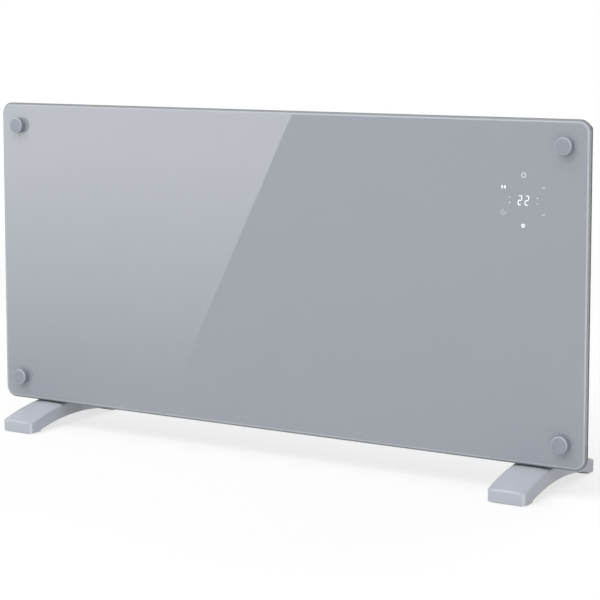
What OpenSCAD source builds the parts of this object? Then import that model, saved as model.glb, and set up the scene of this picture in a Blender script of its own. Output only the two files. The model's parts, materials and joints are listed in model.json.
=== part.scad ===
// Free-standing glass panel convector heater on two arched feet.
// X runs along the width, Y from front to back and Z up.
// The origin is on the floor, midway between the feet and midway along them.

/* [Glass pane] */
// Width of the pane
glass_w = 850; // [760:10:1100]
// Height of the pane
glass_h = 400; // [390:10:480]
// Thickness of the pane
glass_t = 5; // [4:0.5:8]
// Radius of the pane's corners
glass_corner_r = 15; // [8:1:22]
// Width of the ground bevel round the face
bevel_w = 2.2; // [1:0.1:3.5]
// Depth of the bevel
bevel_t = 0.7; // [0.3:0.1:1.2]
// Width of the outer arris, outside the bevel
arris_w = 1.8; // [0.8:0.1:3]
// Depth of the outer arris
arris_t = 1.6; // [0.6:0.1:2.2]
// Height of the pane's lower edge above the floor
glass_lift = 32; // [30:1:38]
// Distance of the pane's face in front of the feet's middle
glass_forward = 37; // [32:1:45]

/* [Corner caps] */
// Diameter of a cap
cap_d = 20; // [16:1:26]
// Height of a cap
cap_h = 9; // [7:0.5:14]
// Rounding of a cap's edge, round its face
cap_edge_r = 1.8; // [0.4:0.1:3]
// Distance of a cap's centre from the pane's edges
cap_inset = 30; // [26:1:36]
// Diameter of the stud that holds a cap
stud_d = 5; // [4:0.5:6]
// Wall of a cap's face, in front of its threaded hole
cap_face_t = 3; // [2:0.5:5]
// Thickness of the washer behind a cap
washer_t = 0.5; // [0.4:0.1:1.5]
// Wall of the bush in a pane's hole
bush_wall = 1.8; // [1.2:0.1:3]
// Diameter of a standoff behind the pane
standoff_d = 16; // [12:1:20]
// Length of a standoff, the air gap behind the pane
standoff_l = 5; // [4:0.5:8]
// Diameter of a weld nut on the carrier plate
weld_nut_d = 9; // [8:0.5:11]
// Length of a weld nut
weld_nut_l = 6; // [4:0.5:9]

/* [Feet] */
// Length of a foot from front to back
foot_l = 200; // [170:5:260]
// Width of a foot
foot_w = 48.5; // [40:0.5:56]
// Distance of a foot's outer side from the pane's edge
foot_inset = 46; // [40:1:80]
// Height of a foot's ends
foot_end_h = 15.5; // [12:0.5:20]
// Height of a foot's seat, which carries the case
foot_crown_h = 32; // [28:1:32]
// How far the seat stands above the foot's crown
foot_seat_rise = 0.3; // [0.2:0.1:0.8]
// How much the crown swells across the foot's width
foot_camber = 1; // [0.5:0.1:2]
// Height of the arch under a foot
arch_h = 13; // [9:0.5:14]
// Height of the upright step at each end of the arch
arch_step = 3; // [2:0.5:5]
// Length of a foot's end that stands on the floor
foot_end_l = 20; // [16:1:30]
// Rounding of a foot's long upper edges
foot_edge_r = 3; // [1.5:0.5:4]
// Rounding of a foot's upright corners
foot_corner_r = 6; // [3:0.5:9]
// Rounding of the nose, where the end meets the top
foot_nose_r = 3.5; // [1.5:0.5:4.5]
// Wall of a foot's hollow underside
foot_wall = 3; // [2:0.5:4]
// Thickness of the cross ribs in a foot
foot_rib_t = 2; // [1.5:0.5:4]
// Length of the screw block in the middle of a foot
foot_block_l = 28; // [22:1:36]
// Thickness of a rubber pad
pad_t = 2.5; // [2:0.1:4]
// How far a pad stands out of its pocket
pad_proud = 1; // [0.6:0.1:1.5]
// Rim of the foot round a pad
pad_rim = 2.5; // [1.5:0.5:4]
// Distance between a foot's two screws
foot_screw_pitch = 24; // [18:1:28]
// Diameter of a foot screw's shank
foot_screw_d = 4; // [3:0.5:5]
// Diameter of a foot screw's head
foot_screw_head_d = 8.4; // [7:0.2:10]
// Height of a foot screw's head
foot_screw_head_h = 2.8; // [2:0.2:3.6]
// Depth of a foot screw's counterbore above the arch
foot_counterbore = 6; // [4:0.5:10]
// Thickness of the nut plate over a foot
nut_plate_t = 3; // [2:0.5:5]

/* [Case] */
// Thickness of the carrier plate behind the pane
carrier_t = 1; // [0.8:0.1:2]
// Distance of the carrier plate's sides inside the pane's
carrier_inset = 19; // [15:1:20]
// Depth of the carrier plate's side returns
carrier_return = 8; // [4:1:14]
// Distance from the carrier plate to the case's back
case_depth = 49; // [45:1:60]
// Gap between the case's sides and the weld nuts beside them
case_gap = 1.5; // [0.5:0.5:6]
// Thickness of the back's sheet
sheet_t = 1; // [0.8:0.1:1.5]
// Wall of an end cap
end_wall = 2.2; // [1.6:0.1:3]
// Width of an end cap's rear flange
end_flange = 15; // [13:0.5:18]
// Width of an end cap's front flange
end_lip = 6; // [4:0.5:8]
// Rounding of an end cap's rear corner
end_r = 6; // [4:0.5:6]
// Diameter of a screw boss in an end cap
boss_d = 8.4; // [7:0.2:9.6]
// Number of screws up each end cap
boss_count = 4; // [3:1:4]
// Distance of the end screws from the case's top and bottom
boss_margin = 14; // [10:1:16]
// Diameter of a case screw's shank
screw_d = 3.4; // [3:0.1:4]
// Diameter of a case screw's head
screw_head_d = 7; // [6:0.2:8]
// Height of a case screw's head
screw_head_h = 2; // [1.4:0.1:2.6]
// Length of a case screw's shank
screw_l = 12; // [8:1:18]

/* [Outlet grille] */
// Height of the outlet grille
grille_h = 12; // [10:1:16]
// Distance of the grille's top below the pane's top
grille_drop = 9; // [6:1:14]
// Distance of the grille's ends inside the pane's sides
grille_inset = 23.5; // [21:0.5:28]
// Rounding of the grille's ends
grille_r = 5.5; // [3:0.5:5.5]
// Frame of the grille at its front and back
grille_frame = 6; // [4:0.5:8]
// Solid end of the grille
grille_end = 28; // [22:1:36]
// Thickness of the lip over the case's back
grille_lip = 1.5; // [1:0.1:2.5]
// How far the lip hangs down over the back
grille_lip_h = 4; // [2:0.5:6]
// Number of slanted blades
blade_count = 5; // [3:1:6]
// Thickness of a blade
blade_t = 1.6; // [1.2:0.1:2]
// Slant of the blades from upright, in degrees
blade_slant = 24; // [0:1:30]
// Number of cross ribs between the blades
rib_count = 11; // [7:1:15]
// Thickness of a cross rib
rib_t = 2; // [1.5:0.1:3]

/* [Inlet grille] */
// Thickness of the inlet grille
inlet_t = 2; // [1.5:0.1:3]
// Height of the inlet grille's edges
inlet_edge_h = 10; // [6:1:14]
// Least distance of an inlet slot from the inlet grille's ends
inlet_margin = 105; // [100:1:130]
// Distance between inlet slots
inlet_pitch = 11; // [9:0.5:12]
// Width of an inlet slot
inlet_slot_w = 5; // [4:0.5:6]
// Length of an inlet slot from front to back
inlet_slot_l = 32; // [24:1:36]

/* [Back panel] */
// Least distance of a slot from the back panel's sides
slot_margin = 90; // [86:1:120]
// Distance between slots
slot_pitch = 12; // [10:0.5:12.5]
// Width of a slot
slot_w = 5; // [4:0.5:6]
// Height of a slot in the two lower rows
low_slot_h = 26; // [20:1:28]
// Gap between the two lower rows
slot_row_gap = 8; // [6:1:10]
// Height of the lower rows above the case's bottom
low_slot_lift = 14; // [10:1:18]
// Height of a slot in the upper row
high_slot_h = 18; // [12:1:22]
// Distance of the upper row below the case's top
high_slot_drop = 12; // [8:1:16]
// Distance of the raised field inside the back panel's sides
field_inset = 63; // [50:1:90]
// Height of the raised field
field_h = 150; // [110:5:160]
// Height of the field's middle above the case's bottom
field_lift = 215; // [210:5:225]
// How far the field stands out
field_t = 1.5; // [1:0.1:2.5]
// Width of the field's slanted edge
field_slope = 4; // [2:0.5:6]
// Rounding of the field's corners
field_r = 14; // [8:1:24]
// Distance between the hanging keyholes, sideways
keyhole_pitch_x = 500; // [400:10:560]
// Distance between the hanging keyholes, upwards
keyhole_pitch_z = 210; // [200:5:215]
// Height of the lower keyholes above the case's bottom
keyhole_lift = 109; // [104:1:114]
// Diameter of a keyhole's entry
keyhole_d = 10; // [8:0.5:12]
// Width of a keyhole's slot
keyhole_slot_w = 5; // [4:0.5:6]
// Height of a keyhole's slot above the entry's centre
keyhole_rise = 12; // [9:0.5:14]

/* [Cable gland] */
// Bore for the cable
gland_bore_d = 8; // [6:0.5:9]
// Diameter of the gland's threaded body
gland_body_d = 16; // [14:0.5:18]
// Diameter of the gland's flange
gland_flange_d = 22; // [20:0.5:26]
// Thickness of the gland's flange
gland_flange_t = 3; // [2:0.5:4]
// Length of the gland's tapered nose
gland_nose_l = 5; // [3:0.5:8]
// Diameter of the nose's end
gland_nose_d = 13; // [12:0.5:14]
// Length of the gland's body inside the case
gland_body_l = 8; // [7:0.5:9]
// Width of the gland's nut across its corners
gland_nut_d = 23; // [20:0.5:26]
// Thickness of the gland's nut
gland_nut_t = 5; // [4:0.5:6]
// Distance of the gland from the case's side
gland_inset = 47; // [42:1:52]
// Height of the gland above the case's bottom
gland_lift = 31; // [26:1:34]

/* [Rocker switch] */
// Height of the switch's middle above the case's bottom
switch_lift = 79; // [75:1:84]
// Height of the bezel
bezel_h = 21; // [19:0.5:24]
// Width of the bezel
bezel_w = 15; // [14:0.5:18]
// Thickness of the bezel
bezel_t = 2; // [1.5:0.1:3]
// Rounding of the bezel's corners
bezel_r = 1.8; // [1.3:0.1:2.4]
// Width of the bezel's slanted edge
bezel_slope = 0.8; // [0.4:0.1:1.2]
// Wall of the switch's housing
switch_wall = 1.2; // [1:0.1:1.6]
// Depth of the switch's housing behind the bezel
switch_depth = 22; // [18:1:24]
// Radius of the rocker about its pivot
rocker_r = 8.2; // [7.4:0.1:8.4]
// Width of the rocker
rocker_w = 10; // [8.5:0.1:10.2]
// Tilt of the rocker each way, in degrees
rocker_tilt = 9; // [6:0.5:10]
// Height of the rocker's waist above its pivot
rocker_waist = 3.2; // [2.6:0.1:3.4]
// Depth of the rocker below its pivot
rocker_keel = 4; // [3:0.1:4.4]
// Depth of the pivot behind the bezel's face
pivot_depth = 4; // [3.6:0.1:4.4]
// Diameter of the rocker's pivot stubs
stub_d = 2.4; // [2:0.1:2.8]

/* [Display and touch keys] */
// Distance of the display's middle from the pane's right edge
display_inset = 81.5; // [78:0.5:90]
// Distance of the display's middle below the pane's top
display_drop = 94; // [90:1:100]
// Radius of the ring of touch keys
key_ring_r = 30; // [27:0.5:31]
// Number of touch keys
key_count = 6; // [4:1:6]
// Margin of the touch board outside the ring of keys
board_margin = 5; // [4:0.5:6]
// Wall of the display tray
tray_wall = 2; // [1.5:0.1:2.4]
// Depth of the display tray
tray_depth = 17; // [14:0.5:20]
// Thickness of a circuit board
board_t = 1.6; // [1:0.1:2]
// Height of the digit block
digits_h = 16; // [14:0.5:20]
// Width of the digit block
digits_w = 26; // [22:1:32]
// Depth of the digit block
digits_t = 6; // [5:0.5:7]
// Diameter of a touch spring
spring_d = 8; // [6:0.5:9]
// Wire of a touch spring
spring_wall = 0.8; // [0.6:0.1:1.2]

/* [Heating element] */
// Distance of the heating element's ends inside the case's sides
element_inset = 89; // [86:1:110]
// Height of the element's middle above the case's bottom
element_lift = 64; // [60:1:68]
// Diameter of the element's core
core_d = 13; // [11:0.5:15]
// Length of a wing from the core's middle
wing_l = 24; // [20:0.5:25]
// Thickness of a wing
wing_t = 1.6; // [1.2:0.1:2]
// Number of fins on a wing
fin_count = 5; // [3:1:5]
// Width of a fin across its wing
fin_w = 6; // [4:0.5:7]
// Thickness of a fin
fin_t = 0.9; // [0.7:0.1:1.2]
// Diameter of an end insulator
insulator_d = 16; // [15.5:0.5:18]
// Length of an end insulator
insulator_l = 12; // [10:1:14]
// Diameter of a terminal rod
terminal_d = 3; // [2.5:0.5:4]
// Length of a terminal rod
terminal_l = 8; // [6:1:10]
// Thickness of an element bracket
bracket_t = 1.5; // [1:0.1:2]
// Height of an element bracket
bracket_h = 100; // [80:5:110]
// Width of a bracket's flange on the carrier plate
bracket_flange = 14; // [10:1:16]
// Height of a bracket's lower edge above the case's bottom
bracket_lift = 16; // [14:1:20]
// Thickness of the heat shield
shield_t = 0.8; // [0.6:0.1:1.2]
// Air gap between the carrier plate and the heat shield
shield_gap = 4; // [3:0.5:5]
// How far the element reaches past the heat shield at each end
shield_short = 5; // [2:1:40]
// Height of the heat shield
shield_h = 320; // [260:5:330]
// Height of the heat shield's lower edge above the case's bottom
shield_lift = 30; // [24:1:34]
// Diameter of a stud that carries the heat shield
shield_post_d = 8; // [6:0.5:10]
// Thickness of that stud's head
shield_head_t = 1; // [0.6:0.1:1.5]

/* [Inner boards and sensors] */
// Width of the power board
power_w = 50; // [44:1:54]
// Height of the power board
power_h = 110; // [96:1:116]
// Height of the power board's lower edge above the case's bottom
power_lift = 132; // [128:1:140]
// Distance of the power board's middle from the case's side
power_inset = 45; // [42:1:47]
// Length of the posts that carry the power board
post_l = 10; // [8:1:14]
// Diameter of those posts
post_d = 6; // [5:0.5:7]
// Side of a relay's top
relay_w = 19; // [15:0.5:20]
// Length of a relay
relay_l = 24; // [20:1:26]
// Height of a relay off the board
relay_h = 16; // [13:0.5:18]
// Diameter of the supply capacitor
capacitor_d = 12; // [9:0.5:14]
// Height of the supply capacitor off the board
capacitor_h = 20; // [14:1:22]
// Width of the terminal block
block_w = 30; // [24:1:34]
// Height of the terminal block
block_h = 14; // [11:1:16]
// Depth of the terminal block
block_d = 16; // [12:1:18]
// Height of the terminal block's lower edge above the case's bottom
block_lift = 58; // [54:1:60]
// Diameter of the thermal cut-out
cutout_d = 17; // [15:0.5:19]
// Thickness of the thermal cut-out
cutout_t = 6; // [5:0.5:8]
// Diameter of the thermal fuse
fuse_d = 5; // [4:0.5:6]
// Length of the thermal fuse
fuse_l = 16; // [12:1:20]
// Diameter of the room sensor's bead
sensor_d = 6; // [4:0.5:7]
// Length of the room sensor
sensor_l = 18; // [14:1:24]
// Diameter of an inner lead
lead_d = 2.6; // [2:0.1:3]

/* [Tip-over switch] */
// Height of the pendulum's pivot above the case's bottom
tip_lift = 116; // [114:1:118]
// Width of the tip switch's frame
tip_w = 22; // [20:0.5:24]
// Thickness of the tip switch's ears and base
tip_wall = 1.5; // [1.2:0.1:2]
// Height of the tip switch's frame
tip_h = 34; // [32:0.5:36]
// Distance of the pendulum's pivot from the frame's base
tip_reach = 14; // [13:0.5:16]
// Diameter of the pivot pin
tip_pin_d = 2.4; // [2:0.1:3]
// Diameter of the pendulum's hub
tip_hub_d = 7; // [6:0.5:8]
// Distance of the pendulum's weight below the pivot
tip_arm = 15; // [13:0.5:16]
// Diameter of the pendulum's weight
tip_weight_d = 11; // [8:0.5:12]
// Height of the microswitch
micro_h = 7; // [6:0.5:8]
// Depth of the microswitch
micro_d = 10; // [8:0.5:12]

/* [Hidden] */
$fn = 64;
large_fn = 360;

// Running gap round a pin, on its radius
pin_gap = 0.05;
// Gap round a screw, stud or bush, on its radius
fit_gap = 0.1;
// Gap between parts that sit beside each other
side_gap = 0.3;
// Gap round a screw's shank in a plain hole, on its radius
clear_gap = 0.3;
// Overrun of every cut
over = 1;

// Colours of the materials
pane_grey = [0.63, 0.65, 0.68];
cap_grey = [0.62, 0.63, 0.67];
washer_grey = [0.8, 0.8, 0.8];
zinc = [0.75, 0.75, 0.77];
steel = [0.7, 0.7, 0.72];
carrier_grey = [0.55, 0.55, 0.57];
end_cap_grey = [0.58, 0.58, 0.61];
case_grey = [0.6, 0.6, 0.63];
dark_steel = [0.45, 0.45, 0.47];
outlet_grey = [0.52, 0.51, 0.53];
inlet_grey = [0.5, 0.5, 0.52];
silver_lacquer = [0.74, 0.76, 0.8];
aluminium = [0.78, 0.79, 0.8];
ceramic_white = [0.93, 0.92, 0.88];
nickel = [0.72, 0.7, 0.66];
fuse_sleeve = [0.8, 0.78, 0.72];
board_green = [0.15, 0.35, 0.22];
spring_bronze = [0.8, 0.65, 0.4];
nylon_white = [0.9, 0.9, 0.86];
relay_blue = [0.16, 0.18, 0.3];
tinned_brass = [0.75, 0.72, 0.6];
frame_grey = [0.3, 0.3, 0.32];
pendulum_brass = [0.6, 0.58, 0.5];
heat_lead_sleeve = [0.85, 0.83, 0.78];
lead_brown = [0.35, 0.25, 0.2];
lead_blue = [0.2, 0.25, 0.4];
rubber_black = [0.2, 0.2, 0.2];
moulding_black = [0.13, 0.13, 0.14];

// Radius of an arc over half a chord, with its rise above the chord
function arc_radius(half, rise) = (pow(half, 2) + pow(rise, 2)) / (2 * rise);

glass_face_y = -glass_forward;
glass_back_y = glass_face_y + glass_t;
carrier_y = glass_back_y + standoff_l;
case_y0 = carrier_y + carrier_t;
case_y1 = case_y0 + case_depth;
sheet_y = case_y1 - sheet_t;
case_mid_y = (case_y0 + case_y1) / 2;

glass_top_z = glass_lift + glass_h;
glass_mid_z = glass_lift + glass_h / 2;
case_z0 = foot_crown_h;
grille_z1 = glass_top_z - grille_drop;
case_z1 = grille_z1 - grille_h;
case_h = case_z1 - case_z0;
floor_z = case_z0 + inlet_t;

cap_x = glass_w / 2 - cap_inset;
cap_z0 = glass_lift + cap_inset;
cap_z1 = glass_top_z - cap_inset;
glass_hole_d = stud_d + 2 * (fit_gap + bush_wall + fit_gap);
stud_y0 = glass_face_y - washer_t - cap_h + cap_face_t + side_gap;
stud_y1 = case_y0 + weld_nut_l + over;

carrier_x = glass_w / 2 - carrier_inset;
carrier_z1 = grille_z1 - sheet_t;
carrier_r = end_r;
case_x = cap_x - weld_nut_d / 2 - case_gap;
panel_x = case_x - end_r;
field_w = 2 * (panel_x - field_inset);
slot_half_count = floor((panel_x - slot_margin) / slot_pitch);
inlet_x = case_x - end_flange - side_gap;
inlet_count = 2 * floor((inlet_x - inlet_margin) / inlet_pitch);
boss_x = case_x - end_flange + boss_d / 2;
boss_step = (case_h - 2 * boss_margin) / (boss_count - 1);
boss_heights = [for (i = [0 : boss_count - 1]) case_z0 + boss_margin + i * boss_step];

foot_x = glass_w / 2 - foot_inset - foot_w / 2;
foot_top_z = foot_crown_h - foot_seat_rise;
foot_rise = foot_top_z - foot_end_h;
foot_top_r = arc_radius(foot_l / 2, foot_rise);
foot_top_c = foot_top_z - foot_top_r;
foot_sweep = asin(foot_l / 2 / foot_top_r) + over;
arch_half = foot_l / 2 - foot_end_l;
arch_rise = arch_h - arch_step;
arch_r = arc_radius(arch_half, arch_rise);
foot_base_z = pad_proud;
foot_saddle_l = foot_block_l + foot_end_l / 2;
foot_seat_z = arch_h + foot_counterbore;
pad_l = foot_end_l - 2 * pad_rim;
pad_w = foot_w - 2 * (pad_rim + foot_wall);

slot_lift = case_z0 + low_slot_lift;
keyhole_z0 = case_z0 + keyhole_lift;
gland_x = case_x - gland_inset;
gland_z = case_z0 + gland_lift;

switch_z = case_z0 + switch_lift;
switch_y = case_mid_y;
bezel_x = case_x + bezel_t;
pivot_x = bezel_x - pivot_depth;
switch_body_h = 2 * (rocker_r + side_gap + switch_wall);
switch_body_w = rocker_w + 2 * (fit_gap + switch_wall);
switch_well = rocker_r;

display_x = glass_w / 2 - display_inset;
display_z = glass_top_z - display_drop;
board_w = 2 * (key_ring_r * cos(180 / key_count) + board_margin);
board_h = 2 * (key_ring_r + board_margin);
tray_w = board_w + 2 * (tray_wall + fit_gap);
tray_h = board_h + 2 * (tray_wall + fit_gap);
tray_y = glass_back_y + side_gap;
board_y = tray_y + digits_t + side_gap;

element_z = case_z0 + element_lift;
element_y = case_mid_y;
element_l = 2 * (case_x - element_inset);
bracket_x = element_l / 2 + insulator_l / 3;
bracket_z = case_z0 + bracket_lift;
shield_w = element_l - 2 * shield_short;
shield_y = case_y0 + shield_gap;
shield_z = case_z0 + shield_lift;

power_x = case_x - power_inset;
power_z = case_z0 + power_lift;
power_y = case_y0 + post_l;
block_x = power_x;
block_y = case_y0 + block_d / 2;
block_z = case_z0 + block_lift;
block_way = block_w / 3;
switch_pitch = switch_body_h / 3;
tip_x = power_x - post_d;
tip_z = case_z0 + tip_lift;
tip_y = case_y0 + tip_wall + tip_reach;
lead_z = floor_z + inlet_edge_h;

// Plates, bars and rods laid along each direction
module plate_xz(y, t) {
    translate([0, y + t, 0]) rotate([90, 0, 0]) linear_extrude(t) children();
}

module bar_x(x, l) {
    translate([x, 0, 0]) rotate([90, 0, 90]) linear_extrude(l) children();
}

module rod_x(x, l, d) {
    translate([x, 0, 0]) rotate([0, 90, 0]) cylinder(h = l, d = d);
}

module rod_y(y, l, d) {
    translate([0, y, 0]) rotate([-90, 0, 0]) cylinder(h = l, d = d);
}

module round_rect(w, h, r) {
    square([w - 2 * r, h], center = true);
    square([w, h - 2 * r], center = true);
    for (sx = [-1, 1], sz = [-1, 1])
        translate([sx * (w / 2 - r), sz * (h / 2 - r)]) circle(r);
}

module slot(w, h) {
    square([w, h - w], center = true);
    for (s = [-1, 1]) translate([0, s * (h - w) / 2]) circle(d = w);
}

// A slab whose rim follows points: each is [distance in from the rim, depth behind the face]
module rimmed_slab(w, h, t, r, rim) {
    corner = [for (p = rim) [r - p[0], t - p[1]]];
    long = concat(
        [for (p = rim) [w / 2 - p[0], t - p[1]]],
        [for (i = [len(rim) - 1 : -1 : 0]) [-w / 2 + rim[i][0], t - rim[i][1]]]
    );
    tall = concat(
        [for (p = rim) [h / 2 - p[0], t - p[1]]],
        [for (i = [len(rim) - 1 : -1 : 0]) [-h / 2 + rim[i][0], t - rim[i][1]]]
    );
    for (sx = [-1, 1], sz = [-1, 1])
        translate([sx * (w / 2 - r), sz * (h / 2 - r), 0])
            rotate_extrude() polygon(concat([[0, 0]], corner, [[0, t]]));
    translate([0, h / 2 - r, 0]) rotate([90, 0, 0]) linear_extrude(h - 2 * r) polygon(long);
    translate([-w / 2 + r, 0, 0]) rotate([90, 0, 90]) linear_extrude(w - 2 * r) polygon(tall);
}

module at_caps() {
    for (x = [-cap_x, cap_x], z = [cap_z0, cap_z1]) translate([x, 0, z]) children();
}

// Ring or tube along Y
module tube_y(y, l, d, bore) {
    difference() {
        rod_y(y, l, d);
        rod_y(y - over, l + 2 * over, bore);
    }
}

// The pane, with its ground bevel and arris and four holes
module glass_panel() color(pane_grey) {
    rim = [[0, glass_t], [0, bevel_t + arris_t], [arris_w, bevel_t], [arris_w + bevel_w, 0]];
    difference() {
        translate([0, glass_back_y, glass_mid_z]) rotate([90, 0, 0])
            rimmed_slab(glass_w, glass_h, glass_t, glass_corner_r, rim);
        at_caps() rod_y(glass_face_y - over, glass_t + 2 * over, glass_hole_d);
    }
}

module cap(x, z) color(cap_grey) {
    thread_d = stud_d + 2 * fit_gap;
    difference() {
        translate([x, glass_face_y - washer_t, z]) rotate([90, 0, 0]) rotate_extrude() {
            square([cap_d / 2, cap_h - cap_edge_r]);
            square([cap_d / 2 - cap_edge_r, cap_h]);
            translate([cap_d / 2 - cap_edge_r, cap_h - cap_edge_r]) circle(cap_edge_r);
        }
        translate([x, 0, z])
            rod_y(glass_face_y - washer_t - cap_h + cap_face_t, cap_h, thread_d);
    }
}

module cap_washers() color(washer_grey) {
    at_caps() tube_y(glass_face_y - washer_t, washer_t, cap_d - cap_edge_r, stud_d + 2 * fit_gap);
}

module cap_studs() color(zinc) {
    at_caps() rod_y(stud_y0, stud_y1 - stud_y0, stud_d);
}

module glass_bushes() color(nylon_white) {
    at_caps() tube_y(glass_face_y, glass_t, glass_hole_d - 2 * fit_gap, stud_d + 2 * fit_gap);
}

module glass_standoffs() color(rubber_black) {
    at_caps() tube_y(glass_back_y, standoff_l, standoff_d, stud_d + 2 * fit_gap);
}

module weld_nuts() color(steel) {
    at_caps() tube_y(case_y0, weld_nut_l, weld_nut_d, stud_d + 2 * fit_gap);
}

// The sheet behind the pane, which carries the pane, the case and the display
module carrier_plate() color(carrier_grey) {
    height = carrier_z1 - case_z0;
    difference() {
        union() {
            translate([0, 0, case_z0 + height / 2])
                plate_xz(carrier_y, carrier_t) round_rect(2 * carrier_x, height, carrier_r);
            for (s = [-1, 1])
                translate([s * (carrier_x - carrier_t / 2), carrier_y, case_z0 + height / 2])
                    translate([-carrier_t / 2, 0, -height / 2 + carrier_r])
                        cube([carrier_t, carrier_return, height - 2 * carrier_r]);
        }
        at_caps() rod_y(carrier_y - over, carrier_t + 2 * over, stud_d + 2 * clear_gap);
        at_bosses() rod_y(carrier_y - over, carrier_t + 2 * over, screw_d + 2 * clear_gap);
        translate([display_x, 0, display_z])
            plate_xz(carrier_y - over, carrier_t + 2 * over)
                square([tray_w + 2 * side_gap, tray_h + 2 * side_gap], center = true);
    }
}

module at_bosses() {
    for (s = [-1, 1], z = boss_heights) translate([s * boss_x, 0, z]) children();
}

// A pan head with a cross recess, its shank along +Z from the seat at zero
module cross_screw(d, l, head_d, head_h) {
    recess_w = head_d / 7;
    difference() {
        union() {
            cylinder(h = l, d = d);
            translate([0, 0, -head_h]) rotate_extrude() polygon([
                [0, 0], [head_d / 3, 0], [head_d * 0.45, head_h / 4], [head_d / 2, head_h * 0.6],
                [head_d / 2, head_h], [0, head_h]
            ]);
        }
        for (a = [0, 90]) rotate(a) translate([-head_d / 4, -recess_w / 2, -head_h - over])
            cube([head_d / 2, recess_w, over + head_h * 0.6]);
    }
}

module carrier_screws() color(zinc) {
    at_bosses() translate([0, carrier_y, 0]) rotate([-90, 0, 0])
        cross_screw(screw_d, screw_l, screw_head_d, screw_head_h);
}

module heat_shield() color(aluminium) {
    difference() {
        translate([-shield_w / 2, shield_y, shield_z]) cube([shield_w, shield_t, shield_h]);
        at_shield_posts() rod_y(shield_y - over, shield_t + 2 * over, screw_d + 2 * clear_gap);
    }
}

module at_shield_posts() {
    for (x = [-shield_w * 0.4, 0, shield_w * 0.4], z = [shield_h * 0.1, shield_h * 0.9])
        translate([x, 0, shield_z + z]) children();
}

// Studs on the carrier plate: a shoulder for the shield, a neck through it and a flat head
module shield_studs() color(zinc) {
    neck_r = screw_d / 2;
    head_r = (screw_d + shield_post_d) / 4;
    at_shield_posts() translate([0, case_y0, 0]) rotate([-90, 0, 0]) rotate_extrude() polygon([
        [0, 0], [shield_post_d / 2, 0], [shield_post_d / 2, shield_gap], [neck_r, shield_gap],
        [neck_r, shield_gap + shield_t], [head_r, shield_gap + shield_t],
        [head_r, shield_gap + shield_t + shield_head_t], [0, shield_gap + shield_t + shield_head_t]
    ]);
}

// Outline of the right end cap, seen from above
module end_cap_outline() {
    width = case_x - end_flange;
    inner_y = sheet_y - end_wall;
    difference() {
        union() {
            translate([width, case_y0]) square([end_flange, case_depth - end_r]);
            translate([width, case_y0]) square([end_flange - end_r, case_depth]);
            translate([case_x - end_r, case_y1 - end_r]) circle(end_r);
        }
        translate([width - over, case_y0 + end_wall])
            square([end_flange - end_wall + over, inner_y - case_y0 - end_wall]);
        translate([width - over, case_y0 - over])
            square([end_flange - end_lip + over, end_wall + 2 * over]);
        translate([width - over, sheet_y])
            square([panel_x + side_gap - width + over, sheet_t + over]);
    }
}

module end_cap() {
    difference() {
        union() {
            translate([0, 0, case_z0]) linear_extrude(case_h) end_cap_outline();
            for (z = boss_heights) translate([boss_x, 0, z])
                rod_y(case_y0, sheet_y - case_y0, boss_d);
            for (z = boss_heights)
                translate([boss_x, case_y0, z - end_wall / 2])
                    cube([case_x - end_wall / 2 - boss_x, sheet_y - case_y0, end_wall]);
        }
        for (z = boss_heights) translate([boss_x, 0, z])
            rod_y(case_y0 - over, case_depth + 2 * over, screw_d + 2 * fit_gap);
    }
}

module end_cap_left() color(end_cap_grey) {
    mirror([1, 0, 0]) end_cap();
}

module end_cap_right() color(end_cap_grey) {
    difference() {
        end_cap();
        translate([case_x - end_wall - over, switch_y - switch_body_w / 2 - fit_gap,
                   switch_z - switch_body_h / 2 - fit_gap])
            cube([end_wall + 2 * over, switch_body_w + 2 * fit_gap, switch_body_h + 2 * fit_gap]);
    }
}

module keyhole() {
    circle(d = keyhole_d);
    translate([-keyhole_slot_w / 2, 0]) square([keyhole_slot_w, keyhole_rise - keyhole_slot_w / 2]);
    translate([0, keyhole_rise - keyhole_slot_w / 2]) circle(d = keyhole_slot_w);
}

// The three rows of air slots in the back
module slot_rows() {
    low_z = slot_lift + low_slot_h / 2;
    for (i = [-slot_half_count : slot_half_count]) {
        x = i * slot_pitch;
        translate([x, low_z]) slot(slot_w, low_slot_h);
        translate([x, low_z + low_slot_h + slot_row_gap]) slot(slot_w, low_slot_h);
        translate([x, case_z1 - high_slot_drop - high_slot_h / 2]) slot(slot_w, high_slot_h);
    }
}

module rear_panel() color(case_grey) {
    field_z = case_z0 + field_lift;
    rim = [[0, field_t + sheet_t], [field_slope, 0]];
    inner_w = field_w - 2 * sheet_t;
    inner_h = field_h - 2 * sheet_t;
    difference() {
        union() {
            plate_xz(sheet_y, sheet_t) difference() {
                translate([0, case_z0 + case_h / 2]) square([2 * panel_x, case_h], center = true);
                slot_rows();
            }
            translate([0, sheet_y, field_z]) rotate([90, 0, 180])
                rimmed_slab(field_w, field_h, field_t + sheet_t, field_r, rim);
        }
        translate([0, sheet_y - sheet_t, field_z]) rotate([90, 0, 180])
            rimmed_slab(inner_w, inner_h, field_t + sheet_t, field_r - sheet_t, rim);
        plate_xz(sheet_y - over, sheet_t + 2 * over)
            for (x = [-1, 1], z = [0, keyhole_pitch_z])
                translate([x * keyhole_pitch_x / 2, keyhole_z0 + z]) keyhole();
        at_bosses() rod_y(sheet_y - over, sheet_t + 2 * over, screw_d + 2 * clear_gap);
        translate([gland_x, 0, gland_z])
            rod_y(sheet_y - over, sheet_t + 2 * over, gland_body_d + 2 * fit_gap);
    }
}

module rear_screws() color(dark_steel) {
    at_bosses() translate([0, case_y1, 0]) rotate([90, 0, 0])
        cross_screw(screw_d, screw_l, screw_head_d, screw_head_h);
}

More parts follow.
